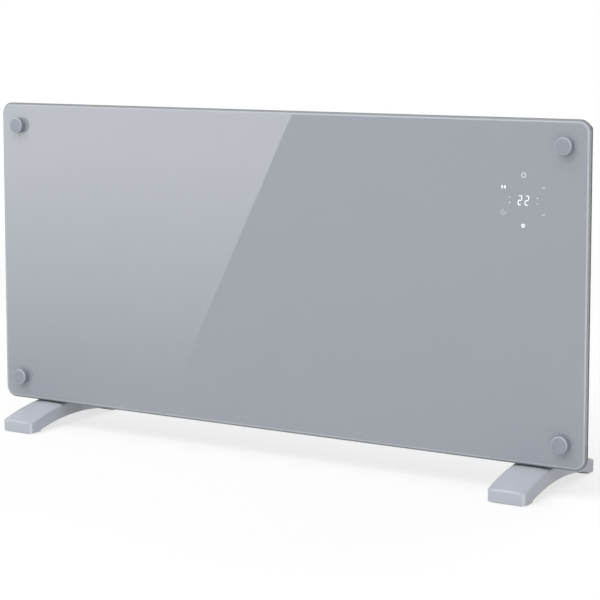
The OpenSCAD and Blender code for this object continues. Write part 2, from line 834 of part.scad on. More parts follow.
// The outlet on the case's top: a frame with round ends, slanted blades and cross ribs
module outlet_grille() color(outlet_grey) {
    half = glass_w / 2 - grille_inset;
    window_x = half - grille_end;
    window_y0 = case_y0 + grille_frame;
    window_l = case_depth - 2 * grille_frame;
    blade_step = window_l / (blade_count + 1);
    blade_run = grille_h * tan(blade_slant);
    rib_step = 2 * window_x / (rib_count + 1);
    difference() {
        union() {
            translate([0, 0, case_z1 + grille_h / 2])
                plate_xz(case_y0, case_depth + grille_lip) round_rect(2 * half, grille_h, grille_r);
            translate([-panel_x, case_y1, case_z1 - grille_lip_h])
                cube([2 * panel_x, grille_lip, grille_lip_h + grille_r]);
        }
        translate([-window_x, window_y0, case_z1 - over])
            cube([2 * window_x, window_l, grille_h + 2 * over]);
    }
    for (i = [1 : blade_count]) {
        y = window_y0 + i * blade_step;
        bar_x(-window_x, 2 * window_x) polygon([
            [y + (blade_run - blade_t) / 2, case_z1], [y + (blade_run + blade_t) / 2, case_z1],
            [y - (blade_run - blade_t) / 2, grille_z1 - sheet_t],
            [y - (blade_run + blade_t) / 2, grille_z1 - sheet_t]
        ]);
    }
    for (i = [1 : rib_count])
        translate([-window_x + i * rib_step - rib_t / 2, window_y0, case_z1])
            cube([rib_t, window_l, grille_h / 2]);
}

module inlet_grille() color(inlet_grey) {
    depth = sheet_y - case_y0;
    edge_l = 2 * (bracket_x - bracket_flange);
    difference() {
        union() {
            translate([-inlet_x, case_y0, case_z0]) cube([2 * inlet_x, depth, inlet_t]);
            for (y = [case_y0, sheet_y - inlet_t])
                translate([-edge_l / 2, y, case_z0]) cube([edge_l, inlet_t, inlet_edge_h]);
        }
        translate([0, case_mid_y, case_z0 - over]) linear_extrude(inlet_t + 2 * over)
            for (i = [0 : inlet_count - 1])
                translate([(i - (inlet_count - 1) / 2) * inlet_pitch, 0])
                    slot(inlet_slot_w, inlet_slot_l);
        at_foot_screws() translate([0, 0, case_z0 - over])
            cylinder(h = inlet_t + 2 * over, d = foot_screw_d + 2 * clear_gap);
    }
}

module at_foot_screws() {
    for (s = [-1, 1], t = [-1, 1])
        translate([s * foot_x + t * foot_screw_pitch / 2, 0, 0]) children();
}

// Side view of a foot: its nose at both ends and the arch below
module foot_side() {
    nose_y = foot_l / 2 - foot_nose_r;
    nose_rise = sqrt(pow(foot_top_r - foot_nose_r, 2) - pow(nose_y, 2));
    nose_z = foot_top_c + nose_rise;
    reach = (foot_nose_r + over) / (foot_top_r - foot_nose_r);
    difference() {
        translate([-foot_l / 2, foot_base_z]) square([foot_l, foot_top_z + foot_rise]);
        intersection() {
            translate([0, arch_h - arch_r]) circle(arch_r, $fn = large_fn);
            translate([-arch_half, arch_step]) square([2 * arch_half, arch_h]);
        }
        translate([-arch_half, foot_base_z - over])
            square([2 * arch_half, arch_step - foot_base_z + over]);
        for (s = [-1, 1]) difference() {
            polygon([
                [s * nose_y, nose_z], [s * nose_y * (1 + reach), nose_z + nose_rise * reach],
                [s * (nose_y + foot_nose_r + over), nose_z + foot_nose_r + over],
                [s * (nose_y + foot_nose_r + over), nose_z]
            ]);
            translate([s * nose_y, nose_z]) circle(foot_nose_r);
        }
    }
}

// Section of a foot, its top to the right: a cambered crown that runs into two rounded edges
module foot_section() {
    depth = foot_top_z + foot_rise;
    half = foot_w / 2;
    camber_r = arc_radius(half, foot_camber);
    camber_c = foot_top_r - camber_r;
    edge_y = half - foot_edge_r;
    turn = asin(edge_y / (camber_r - foot_edge_r));
    edge_x = camber_c + (camber_r - foot_edge_r) * cos(turn);
    crown_half = edge_y + foot_edge_r * sin(turn);
    crown_h = foot_top_r - edge_x + over;
    translate([foot_top_r - depth, -half]) square([depth + edge_x - foot_top_r, foot_w]);
    intersection() {
        translate([edge_x - over, -crown_half]) square([crown_h + over, 2 * crown_half]);
        translate([camber_c, 0]) circle(camber_r, $fn = large_fn);
    }
    for (s = [-1, 1]) translate([edge_x, s * edge_y]) circle(foot_edge_r);
}

// The foot's body, its section swept about the centre of its top's arc
module foot_crown() {
    translate([0, 0, foot_top_c]) rotate([90, 0, 90]) rotate(90 - foot_sweep)
        rotate_extrude(angle = 2 * foot_sweep, $fn = large_fn) foot_section();
}

// The hollows under a foot, between its screw block, ribs and ends
module foot_hollows() {
    cell_x = foot_w - 2 * foot_wall;
    cell_y = (arch_half - foot_block_l / 2 - foot_wall - foot_rib_t) / 2;
    intersection() {
        translate([0, 0, foot_top_c])
            rod_x(-cell_x / 2, cell_x, 2 * (foot_top_r - foot_wall), $fn = large_fn);
        for (s = [-1, 1], i = [0, 1]) {
            mid_y = (foot_block_l + cell_y) / 2 + i * (cell_y + foot_rib_t);
            translate([-cell_x / 2, s * mid_y - cell_y / 2, foot_base_z - over])
                cube([cell_x, cell_y, foot_crown_h]);
        }
    }
}

module foot(side) {
    saddle_w = foot_w - 4 * foot_edge_r;
    translate([side * foot_x, 0, 0]) difference() {
        union() {
            intersection() {
                bar_x(-foot_w / 2, foot_w) foot_side();
                foot_crown();
                translate([0, 0, foot_base_z]) linear_extrude(foot_crown_h)
                    round_rect(foot_w, foot_l, foot_corner_r);
            }
            translate([-saddle_w / 2, -foot_saddle_l / 2, foot_crown_h - foot_wall])
                cube([saddle_w, foot_saddle_l, foot_wall]);
        }
        foot_hollows();
        for (t = [-1, 1]) translate([t * foot_screw_pitch / 2, 0, 0]) {
            translate([0, 0, arch_step]) cylinder(h = foot_crown_h, d = foot_screw_d + 2 * clear_gap);
            cylinder(h = foot_seat_z, d = foot_screw_head_d + 2 * clear_gap);
        }
        for (s = [-1, 1])
            translate([0, s * (foot_l - foot_end_l) / 2, pad_t / 2])
                cube([pad_w + 2 * fit_gap, pad_l + 2 * fit_gap, pad_t], center = true);
    }
}

module foot_left() color(silver_lacquer) {
    foot(-1);
}

module foot_right() color(silver_lacquer) {
    foot(1);
}

module foot_pads(side) color(rubber_black) {
    for (s = [-1, 1])
        translate([side * foot_x, s * (foot_l - foot_end_l) / 2, pad_t / 2])
            cube([pad_w, pad_l, pad_t], center = true);
}

module foot_screws() color(steel) {
    length = floor_z + nut_plate_t - foot_seat_z;
    at_foot_screws() translate([0, 0, foot_seat_z])
        cross_screw(foot_screw_d, length, foot_screw_head_d, foot_screw_head_h);
}

module foot_nut_plates() color(steel) {
    plate_l = foot_screw_pitch + 3 * foot_screw_d;
    difference() {
        for (s = [-1, 1])
            translate([s * foot_x - plate_l / 2, -foot_screw_head_d, floor_z])
                cube([plate_l, 2 * foot_screw_head_d, nut_plate_t]);
        at_foot_screws() translate([0, 0, floor_z - over])
            cylinder(h = nut_plate_t + 2 * over, d = foot_screw_d + 2 * fit_gap);
    }
}

// Cross-section of the heating element: a round core with four finned wings
module element_section() {
    fin_step = (wing_l - core_d / 2) / fin_count;
    difference() {
        union() {
            circle(d = core_d);
            for (a = [45 : 90 : 315]) rotate(a) {
                translate([0, -wing_t / 2]) square([wing_l, wing_t]);
                for (i = [1 : fin_count])
                    translate([core_d / 2 + i * fin_step - fin_t, -fin_w / 2]) square([fin_t, fin_w]);
            }
        }
        circle(d = core_d / 2);
    }
}

module heating_element() color(aluminium) {
    translate([0, element_y, element_z]) bar_x(-element_l / 2, element_l) element_section();
}

module at_element_ends() {
    for (s = [-1, 1]) translate([0, element_y, element_z]) mirror([s < 0 ? 1 : 0, 0, 0])
        translate([element_l / 2, 0, 0]) children();
}

module element_insulators() color(ceramic_white) {
    at_element_ends() difference() {
        union() {
            rod_x(0, bracket_x - element_l / 2, insulator_d);
            rod_x(0, insulator_l, insulator_d - 2 * end_wall);
        }
        rod_x(-over, insulator_l + 2 * over, terminal_d + 2 * fit_gap);
    }
}

module element_terminals() color(nickel) {
    at_element_ends() rod_x(-terminal_l, insulator_l + 2 * terminal_l, terminal_d);
}

module element_bracket() {
    hole_d = insulator_d - 2 * end_wall + 2 * fit_gap;
    bracket_y = sheet_y - case_y0 - field_t;
    difference() {
        union() {
            translate([bracket_x, case_y0, bracket_z]) cube([bracket_t, bracket_y, bracket_h]);
            translate([bracket_x, case_y0, bracket_z]) cube([bracket_flange, bracket_t, bracket_h]);
        }
        translate([0, element_y, element_z]) rod_x(bracket_x - over, bracket_t + 2 * over, hole_d);
    }
}

module element_bracket_left() color(steel) {
    mirror([1, 0, 0]) element_bracket();
}

module element_bracket_right() color(steel) {
    element_bracket();
}

// A disc thermostat on the right bracket, over the element
module thermal_cutout() color(moulding_black) {
    z = bracket_z + bracket_h - cutout_d;
    translate([0, element_y, z]) {
        rod_x(bracket_x - cutout_t, cutout_t, cutout_d);
        for (s = [-1, 1])
            translate([bracket_x - 2 * cutout_t, s * cutout_d / 4 - bracket_t / 2, -lead_d / 2])
                cube([cutout_t, bracket_t, lead_d]);
    }
}

module thermal_fuse() color(fuse_sleeve) {
    z = bracket_z + bracket_h - fuse_l - cutout_d / 2;
    translate([-bracket_x + fuse_d / 2, element_y, z]) cylinder(h = fuse_l, d = fuse_d);
}

// The tray behind the pane that holds the digits and the touch keys
module display_tray() color(moulding_black) {
    bottom_y = tray_y + tray_depth - tray_wall;
    ledge_w = board_w - 2 * tray_wall;
    ledge_h = board_h - 2 * tray_wall;
    translate([display_x, 0, display_z]) difference() {
        plate_xz(tray_y, tray_depth) square([tray_w, tray_h], center = true);
        plate_xz(tray_y - over, board_y + board_t - tray_y + over)
            square([board_w + 2 * fit_gap, board_h + 2 * fit_gap], center = true);
        plate_xz(tray_y - over, tray_depth - tray_wall + over)
            square([ledge_w, ledge_h], center = true);
        translate([0, 0, -ledge_h / 2 + lead_d])
            rod_y(bottom_y - over, tray_wall + 2 * over, lead_d + 2 * clear_gap);
    }
}

module touch_board() color(board_green) {
    translate([display_x, 0, display_z]) plate_xz(board_y, board_t)
        square([board_w, board_h], center = true);
}

module digit_display() color(moulding_black) {
    translate([display_x, 0, display_z]) plate_xz(tray_y, board_y - tray_y)
        square([digits_w, digits_h], center = true);
}

// Sprung contacts between the board and the pane, one behind each key
module touch_springs() color(spring_bronze) {
    for (i = [0 : key_count - 1]) {
        a = 90 + i * 360 / key_count;
        translate([display_x + key_ring_r * cos(a), 0, display_z + key_ring_r * sin(a)])
            tube_y(tray_y, board_y - tray_y, spring_d, spring_d - 2 * spring_wall);
    }
}

module at_board_posts() {
    for (x = [-1, 1], z = [post_d, power_h - post_d])
        translate([power_x + x * (power_w / 2 - post_d), 0, power_z + z]) children();
}

module board_posts() color(nylon_white) {
    at_board_posts() rod_y(case_y0, post_l, post_d);
}

module power_board() color(board_green) {
    translate([power_x - power_w / 2, power_y, power_z]) cube([power_w, board_t, power_h]);
}

module relays() color(relay_blue) {
    for (i = [0, 1])
        translate([power_x - power_w / 2 + post_d / 2 + i * (relay_w + post_d / 2), power_y + board_t,
                   power_z + power_h / 2 - relay_l / 2])
            cube([relay_w, relay_h, relay_l]);
}

module supply_capacitor() color(moulding_black) {
    translate([power_x, 0, power_z + power_h - relay_l])
        rod_y(power_y + board_t, capacitor_h, capacitor_d);
}

module terminal_block() color(nylon_white) {
    difference() {
        translate([block_x - block_w / 2, case_y0, block_z]) cube([block_w, block_d, block_h]);
        for (i = [-1 : 1]) translate([block_x + i * block_way, block_y, block_z + block_h / 3])
            cylinder(h = block_h, d = block_way / 2);
    }
}

// The switch's housing: a bezel, a well for the rocker and a closed body behind it
module switch_housing() color(moulding_black) {
    well_h = 2 * (rocker_r + side_gap);
    well_w = rocker_w + 2 * fit_gap;
    rim = [[0, bezel_t], [0, bezel_slope], [bezel_slope, 0]];
    translate([0, switch_y, switch_z]) difference() {
        union() {
            translate([case_x, 0, 0]) rotate([90, 0, 90])
                rimmed_slab(bezel_w, bezel_h, bezel_t, bezel_r, rim);
            translate([case_x - switch_depth, -switch_body_w / 2, -switch_body_h / 2])
                cube([switch_depth, switch_body_w, switch_body_h]);
        }
        translate([pivot_x - switch_well, -well_w / 2, -well_h / 2])
            cube([switch_well + bezel_t + pivot_depth, well_w, well_h]);
        translate([pivot_x, 0, 0])
            rod_y(-bezel_w, 2 * bezel_w, stub_d + 2 * pin_gap);
    }
}

// The rocker, with its upper half pressed in
module switch_rocker() color(moulding_black) {
    reach = rocker_r * tan(rocker_tilt);
    translate([pivot_x, switch_y, switch_z]) rotate([0, -rocker_tilt, 0]) {
        rotate([90, 0, 0]) translate([0, 0, -rocker_w / 2]) linear_extrude(rocker_w) intersection() {
            circle(rocker_r);
            polygon([
                [-rocker_keel, -rocker_r], [rocker_waist + reach, -rocker_r], [rocker_waist, 0],
                [rocker_waist + reach, rocker_r], [-rocker_keel, rocker_r]
            ]);
        }
        rod_y(-rocker_w / 2 - switch_wall, rocker_w + 2 * switch_wall, stub_d);
    }
}

module switch_terminals() color(tinned_brass) {
    for (s = [-1, 0, 1])
        translate([case_x - switch_depth - terminal_l, switch_y - terminal_d / 2,
                   switch_z + s * switch_pitch - board_t / 2])
            cube([terminal_l, terminal_d, board_t]);
}

// A bracket whose two ears carry the pendulum's pin
module tip_switch_frame() color(frame_grey) {
    ear_l = tip_wall + tip_reach + tip_hub_d / 2;
    low = tip_arm + tip_weight_d / 2;
    translate([tip_x, case_y0, tip_z]) difference() {
        union() {
            translate([-tip_w / 2, 0, -low]) cube([tip_w, tip_wall, tip_h]);
            for (s = [0, 1])
                translate([-tip_w / 2 + s * (tip_w - tip_wall), 0, -tip_hub_d / 2])
                    cube([tip_wall, ear_l, tip_hub_d + side_gap + micro_h]);
        }
        translate([0, tip_wall + tip_reach, 0]) rod_x(-tip_w, 2 * tip_w, tip_pin_d + 2 * pin_gap);
    }
}

module tip_pivot_pin() color(zinc) {
    translate([tip_x, tip_y, tip_z]) rod_x(-tip_w / 2 - tip_wall, tip_w + 2 * tip_wall, tip_pin_d);
}

// The pendulum hangs from the pin and swings when the heater tips
module tip_pendulum() color(pendulum_brass) {
    width = tip_w - 2 * tip_wall - 2 * side_gap;
    arm_w = width / 3;
    translate([tip_x, tip_y, tip_z]) difference() {
        union() {
            rod_x(-width / 2, width, tip_hub_d);
            translate([-arm_w / 2, -arm_w / 4, -tip_arm]) cube([arm_w, arm_w / 2, tip_arm]);
            translate([0, 0, -tip_arm]) rod_x(-width / 2, width, tip_weight_d);
        }
        rod_x(-tip_w, 2 * tip_w, tip_pin_d + 2 * pin_gap);
    }
}

module tip_microswitch() color(moulding_black) {
    width = tip_w - 2 * tip_wall;
    translate([tip_x - width / 2, tip_y - micro_d / 2, tip_z + tip_hub_d / 2 + side_gap])
        cube([width, micro_d, micro_h]);
}

module cable_gland() color(moulding_black) {
    flange_r = gland_flange_d / 2;
    body_r = gland_body_d / 2;
    translate([gland_x, case_y1, gland_z]) rotate([-90, 0, 0]) difference() {
        rotate_extrude() polygon([
            [0, -sheet_t - gland_body_l], [body_r, -sheet_t - gland_body_l], [body_r, 0], [flange_r, 0],
            [flange_r, gland_flange_t / 2], [flange_r - gland_flange_t / 2, gland_flange_t],
            [body_r, gland_flange_t], [gland_nose_d / 2, gland_flange_t + gland_nose_l],
            [0, gland_flange_t + gland_nose_l]
        ]);
        translate([0, 0, -case_depth]) cylinder(h = 2 * case_depth, d = gland_bore_d);
    }
}

module gland_nut() color(moulding_black) {
    translate([gland_x, sheet_y - gland_nut_t, gland_z]) rotate([-90, 0, 0]) difference() {
        cylinder(h = gland_nut_t, d = gland_nut_d, $fn = 6);
        translate([0, 0, -over]) cylinder(h = gland_nut_t + 2 * over, d = gland_body_d + 2 * fit_gap);
    }
}

module room_sensor() color(moulding_black) {
    sensor_x = bracket_x + bracket_flange + sensor_d;
    translate([sensor_x - sensor_d / 2, case_y0 + sensor_d, floor_z])
        cube([sensor_d, sensor_l, sensor_d / 2]);
    translate([sensor_x, case_y0 + sensor_d, floor_z + sensor_d / 2])
        rod_y(0, sensor_l, sensor_d - side_gap);
}

// A lead through points, joined with round elbows
module lead(points) {
    for (i = [0 : len(points) - 2]) {
        d = points[i + 1] - points[i];
        translate(points[i]) rotate([0, acos(d[2] / norm(d)), atan2(d[1], d[0])])
            cylinder(h = norm(d), d = lead_d);
    }
    for (i = [1 : len(points) - 2]) translate(points[i]) sphere(d = lead_d);
}

// One lead runs under the element from its left end, the other drops from its right end
module element_leads() color(heat_lead_sleeve) {
    end_x = element_l / 2 + insulator_l + terminal_l + lead_d / 2;
    right_z = block_z - block_h / 2;
    lead([
        [-end_x, element_y, element_z + lead_d], [-end_x, element_y, lead_z],
        [block_x - block_way, element_y, lead_z], [block_x - block_way, block_y, lead_z],
        [block_x - block_way, block_y, block_z]
    ]);
    lead([
        [end_x, element_y, element_z + lead_d], [end_x, element_y, right_z],
        [block_x, element_y, right_z], [block_x, block_y, right_z], [block_x, block_y, block_z]
    ]);
}

// From the terminal block up to the power board, beside the tip-over switch
module board_lead() color(lead_brown) {
    top_z = power_z + 2 * post_d;
    lead([
        [block_x + block_way, block_y, block_z + block_h / 3],
        [block_x + block_way, block_y, top_z], [block_x + block_way, power_y, top_z]
    ]);
}

// From the rocker switch's upper blade to the power board
module switch_lead() color(lead_blue) {
    blade_x = case_x - switch_depth - terminal_l - lead_d / 2;
    blade_z = switch_z + switch_pitch;
    lead([
        [blade_x, switch_y, blade_z - lead_d], [blade_x, switch_y, power_z + post_d],
        [blade_x, power_y + board_t, power_z + post_d]
    ]);
}

// From the display tray down to the power board
module display_lead() color(rubber_black) {
    top_z = display_z - board_h / 2 + tray_wall + lead_d;
    low_z = power_z + power_h - post_d;
    run_y = tray_y + tray_depth + lead_d;
    lead([
        [display_x, board_y + board_t, top_z], [display_x, run_y, top_z],
        [display_x, run_y, low_z], [display_x, power_y + board_t, low_z]
    ]);
}

glass_panel();
cap(-cap_x, cap_z1);  // cap_top_left
cap(cap_x, cap_z1);  // cap_top_right
cap(-cap_x, cap_z0);  // cap_bottom_left
cap(cap_x, cap_z0);  // cap_bottom_right
cap_washers();
cap_studs();
glass_bushes();
glass_standoffs();
weld_nuts();
carrier_plate();
carrier_screws();
heat_shield();
shield_studs();
end_cap_left();
end_cap_right();
rear_panel();
rear_screws();
outlet_grille();
inlet_grille();
foot_left();
foot_right();
foot_pads(-1);  // foot_pads_left
foot_pads(1);  // foot_pads_right
foot_screws();
foot_nut_plates();
heating_element();
element_insulators();
element_terminals();
element_bracket_left();
element_bracket_right();
thermal_cutout();
thermal_fuse();
display_tray();
touch_board();
digit_display();
touch_springs();
power_board();
board_posts();
relays();
supply_capacitor();
terminal_block();
switch_housing();
switch_rocker();
switch_terminals();
tip_switch_frame();
tip_pivot_pin();
tip_pendulum();
tip_microswitch();
cable_gland();
gland_nut();
room_sensor();
element_leads();
board_lead();
switch_lead();
display_lead();
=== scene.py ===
"""Looks of a free-standing glass panel heater: camera, studio, finishes, lit keys and small fittings."""
import json
import math

import bpy
import numpy as np
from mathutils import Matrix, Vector


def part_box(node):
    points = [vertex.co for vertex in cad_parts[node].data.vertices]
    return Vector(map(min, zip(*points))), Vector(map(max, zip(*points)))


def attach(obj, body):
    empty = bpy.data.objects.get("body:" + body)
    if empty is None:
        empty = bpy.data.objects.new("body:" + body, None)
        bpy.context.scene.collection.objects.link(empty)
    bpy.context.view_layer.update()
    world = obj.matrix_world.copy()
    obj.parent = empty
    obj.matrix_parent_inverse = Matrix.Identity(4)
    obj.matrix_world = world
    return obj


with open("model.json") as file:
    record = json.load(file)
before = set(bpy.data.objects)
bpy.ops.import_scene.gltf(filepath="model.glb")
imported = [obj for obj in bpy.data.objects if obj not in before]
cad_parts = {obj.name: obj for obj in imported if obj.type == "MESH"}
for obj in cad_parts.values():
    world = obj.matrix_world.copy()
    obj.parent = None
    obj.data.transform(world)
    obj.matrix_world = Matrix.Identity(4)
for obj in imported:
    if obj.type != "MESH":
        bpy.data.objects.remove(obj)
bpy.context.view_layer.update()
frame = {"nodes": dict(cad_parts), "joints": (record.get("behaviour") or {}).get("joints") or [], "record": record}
NODES = frame["nodes"]
bpy.context.scene.view_settings.view_transform = "Standard"

# Camera, as the photograph was taken: the verticals stay upright and the frame's centre is shifted.
# Its place is in metres, its turns are in radians and its focal length is in pixels of the square frame.
CAMERA_PLACE = (1.24256, -1.98899, 0.54335)
CAMERA_YAW = 0.5502
CAMERA_PITCH = 0.1010
FOCAL_PIXELS = 1883.95
FRAME_PIXELS = 600
CAMERA_SHIFT = -0.15
SENSOR = 36.0
CLIP_NEAR = 0.05
CLIP_FAR = 100.0


def make_camera():
    """A lens with a raised centre, turned left by the yaw and down by the pitch."""
    data = bpy.data.cameras.new("camera")
    data.sensor_width = SENSOR
    data.lens = SENSOR * FOCAL_PIXELS / FRAME_PIXELS
    data.shift_y = CAMERA_SHIFT
    data.clip_start = CLIP_NEAR
    data.clip_end = CLIP_FAR
    camera = bpy.data.objects.new("camera", data)
    bpy.context.scene.collection.objects.link(camera)
    camera.rotation_mode = "XYZ"
    camera.location = CAMERA_PLACE
    camera.rotation_euler = (math.pi / 2 - CAMERA_PITCH, 0.0, CAMERA_YAW)
    bpy.context.scene.camera = camera


make_camera()


# Shader maths

class Value:
    """A shader's socket; sums, products and comparisons of values add Math nodes."""

    def __init__(self, tree, socket):
        self.tree = tree
        self.socket = socket

    def math(self, operation, *others):
        """A Math node with this value first."""
        return add_node(self.tree, "ShaderNodeMath", {"operation": operation},
                        dict(enumerate((self, *others))))

    def reflected(self, operation, other):
        """A Math node with a plain number first and this value second."""
        return add_node(self.tree, "ShaderNodeMath", {"operation": operation}, {0: other, 1: self})

    def __add__(self, other):
        return self.math("ADD", other)

    def __sub__(self, other):
        return self.math("SUBTRACT", other)

    def __mul__(self, other):
        return self.math("MULTIPLY", other)

    def __truediv__(self, other):
        return self.math("DIVIDE", other)

    def __rsub__(self, other):
        return self.reflected("SUBTRACT", other)

    def __rtruediv__(self, other):
        return self.reflected("DIVIDE", other)

    def __gt__(self, other):
        return self.math("GREATER_THAN", other)

    def __lt__(self, other):
        return self.math("LESS_THAN", other)

    def __abs__(self):
        return self.math("ABSOLUTE")

    __radd__ = __add__
    __rmul__ = __mul__

    def at_least(self, other):
        return self.math("MAXIMUM", other)

    def at_most(self, other):
        return self.math("MINIMUM", other)

    def root(self):
        return self.math("SQRT")

    def between(self, start, end):
        """Runs smoothly from 0 at start to 1 at end."""
        return add_node(self.tree, "ShaderNodeMapRange", {"interpolation_type": "SMOOTHSTEP"},
                        {"Value": self, "From Min": start, "From Max": end})


def add_node(tree, kind, settings=None, inputs=None, output=0):
    """Adds one node: its settings first, then the values or links of its sockets."""
    node = tree.nodes.new(kind)
    for name, setting in (settings or {}).items():
        setattr(node, name, setting)
    for name, value in (inputs or {}).items():
        if isinstance(value, Value):
            tree.links.new(value.socket, node.inputs[name])
        else:
            node.inputs[name].default_value = value
    return Value(tree, node.outputs[output]) if node.outputs else None


NOISE_ROUGHNESS = 0.55
# The Mix node's sockets for colours have their names in common with others, so they go by number
MIX_FACTOR = 0
MIX_FIRST = 6
MIX_SECOND = 7
MIX_RESULT = 2


class Finish:
    """A material while it is being made."""

    def __init__(self, name):
        self.material = bpy.data.materials.new(name)
        self.material.use_nodes = True
        self.tree = self.material.node_tree
        self.tree.nodes.clear()

    def node(self, kind, settings=None, inputs=None, output=0):
        """Adds one node to the material."""
        return add_node(self.tree, kind, settings, inputs, output)

    def place(self, stretch=(1.0, 1.0, 1.0)):
        """Object coordinates, drawn out along each axis by the stretch."""
        spot = self.node("ShaderNodeTexCoord", output="Object")
        if stretch == (1.0, 1.0, 1.0):
            return spot
        shrink = tuple(1.0 / s for s in stretch)
        return self.node("ShaderNodeMapping", None, {"Vector": spot, "Scale": shrink})

    def axes(self):
        """X, Y and Z of the object coordinates as values."""
        spot = self.place()
        return [self.node("ShaderNodeSeparateXYZ", None, {"Vector": spot}, k) for k in "XYZ"]

    def noise(self, size, detail=2.0, stretch=(1.0, 1.0, 1.0)):
        """Noise with grains of the given size in metres, from 0 to 1."""
        return self.node("ShaderNodeTexNoise", None, {"Vector": self.place(stretch), "Scale": 1.0 / size,
                                                      "Detail": detail, "Roughness": NOISE_ROUGHNESS})

    def cells(self, size):
        """Distance to the nearest of scattered points, which lie about the size apart."""
        return self.node("ShaderNodeTexVoronoi", {"feature": "F1"},
                         {"Vector": self.place(), "Scale": 1.0 / size}, "Distance")

    def blend(self, factor, first, second):
        """Mixes two colours."""
        return self.node("ShaderNodeMix", {"data_type": "RGBA"},
                         {MIX_FACTOR: factor, MIX_FIRST: first, MIX_SECOND: second}, MIX_RESULT)

    def shift(self, factor, low, high):
        """A number that goes from low to high with the factor."""
        return factor * (high - low) + low

    def bump(self, height, depth):
        """A normal from a height, whose whole step stands for the depth in metres."""
        return self.node("ShaderNodeBump", None, {"Height": height, "Distance": depth})

    def end(self, colour, roughness, metallic=0.0, normal=None, **others):
        """Ends the material in one Principled shader; the others are named as its sockets are."""
        inputs = {"Base Color": colour, "Roughness": roughness, "Metallic": metallic, **others}
        if normal is not None:
            inputs["Normal"] = normal
        shader = self.node("ShaderNodeBsdfPrincipled", None, inputs)
        self.node("ShaderNodeOutputMaterial", None, {"Surface": shader})
        return self.material


def dress(piece, material):
    """Gives a piece one material in place of all it had."""
    piece.data.materials.clear()
    piece.data.materials.append(material)


def tone(red, green, blue):
    """A colour given as it shows on a screen, from 0 to 255, as linear light."""
    def linear(channel):
        share = channel / 255.0
        return share / 12.92 if share <= 0.04045 else ((share + 0.055) / 1.055) ** 2.4
    return (linear(red), linear(green), linear(blue), 1.0)


def lighter(colour, factor):
    """The same colour with its light multiplied."""
    return tuple(min(1.0, c * factor) for c in colour[:3]) + (1.0,)


# Studio

WHITE = (1.0, 1.0, 1.0, 1.0)
SQUARE = ((-1, -1), (1, -1), (1, 1), (-1, 1))

# Strength of the surround's light on matt surfaces
AMBIENT = 0.465

FLOOR_SIZE = 14.0
# The floor lies this far below the pads, so that their faces stay apart
FLOOR_DROP = 0.0003
# Distances from the heater between which the floor fades into the white surround
FLOOR_FADE = (0.75, 2.4)
# The floor's tone and its share of plain white where it is looked at, and its tone for all other light
FLOOR_SEEN_TONE = 0.95
FLOOR_LIFT = 0.72
FLOOR_TONE = 0.9

LAMP_TARGET = (0.0, 0.0, 0.2)
KEY_PLACE = (-0.5, -1.8, 2.9)
KEY_SIZE = 4.2
KEY_POWER = 104.0
BACK_PLACE = (0.6, 2.4, 2.2)
BACK_SIZE = 1.8
BACK_POWER = 22.0


def grey(level):
    """A neutral colour of the given light."""
    return (level, level, level, 1.0)


def make_world():
    """White where it is looked at or mirrored, and a plain even light for what is matt."""
    world = bpy.data.worlds.new("studio")
    bpy.context.scene.world = world
    world.use_nodes = True
    tree = world.node_tree
    tree.nodes.clear()
    rays = [add_node(tree, "ShaderNodeLightPath", None, None, name)
            for name in ("Is Camera Ray", "Is Glossy Ray", "Is Transmission Ray")]
    seen = rays[0].at_least(rays[1]).at_least(rays[2])
    strength = seen * (1.0 - AMBIENT) + AMBIENT
    light = add_node(tree, "ShaderNodeBackground", None, {"Color": WHITE, "Strength": strength})
    add_node(tree, "ShaderNodeOutputWorld", None, {"Surface": light})


def make_floor():
    """A pale matt floor that takes the heater's shadow and fades into the white surround.

    Looked at, it is lifted towards white, which leaves a light shadow. Other light finds it darker.
    """
    half = FLOOR_SIZE / 2
    corners = [(x * half, y * half, -FLOOR_DROP) for x, y in SQUARE]
    mesh = bpy.data.meshes.new("floor")
    mesh.from_pydata(corners, [], [(0, 1, 2, 3)])
    floor = bpy.data.objects.new("floor", mesh)
    bpy.context.scene.collection.objects.link(floor)
    floor.visible_glossy = False
    finish = Finish("pale_floor")
    seen = finish.node("ShaderNodeLightPath", output="Is Camera Ray")
    x, y, _ = finish.axes()
    away = (x * x + y * y).root().between(*FLOOR_FADE)
    colour = finish.blend(seen, grey(FLOOR_TONE), grey(FLOOR_SEEN_TONE))
    matt = finish.node("ShaderNodeBsdfDiffuse", None, {"Color": colour})
    glow = finish.shift(seen, FLOOR_TONE, 1.0)
    white = finish.node("ShaderNodeEmission", None, {"Color": WHITE, "Strength": glow})
    share = away.at_least(seen * FLOOR_LIFT)
    surface = finish.node("ShaderNodeMixShader", None, {0: share, 1: matt, 2: white})
    finish.node("ShaderNodeOutputMaterial", None, {"Surface": surface})
    dress(floor, finish.material)


def make_lamp(name, place, size, power):
    """A square soft light that faces the heater and isn't seen itself."""
    data = bpy.data.lights.new(name, "AREA")
    data.shape = "SQUARE"
    data.size = size
    data.energy = power
    lamp = bpy.data.objects.new(name, data)
    bpy.context.scene.collection.objects.link(lamp)
    lamp.location = place
    aim = Vector(LAMP_TARGET) - Vector(place)
    lamp.rotation_mode = "QUATERNION"
    lamp.rotation_quaternion = aim.to_track_quat("-Z", "Y")
    lamp.visible_camera = False


PANE_LOW, PANE_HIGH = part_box("glass_panel")

CARD_Y = -1.6
CARD_LIGHT = 4.0
# Two points (x, z) of the pane on the mirrored edge of the card
CARD_EDGE_TOP = (0.0338, 0.4283)
CARD_EDGE_LOW = (-0.1149, 0.1284)
# Heights on the pane at which the mirrored card is brightest and at which it is plain white
CARD_FADE = (0.375, 0.075)
# How far the mirrored card reaches past the pane: above and below it, and to its left
CARD_PAST = 0.12
CARD_PAST_LEFT = 0.35

SIDE_PLACE = (1.55, -1.70, 0.80)
SIDE_SIZE = 2.8
SIDE_LIGHT = 7.0


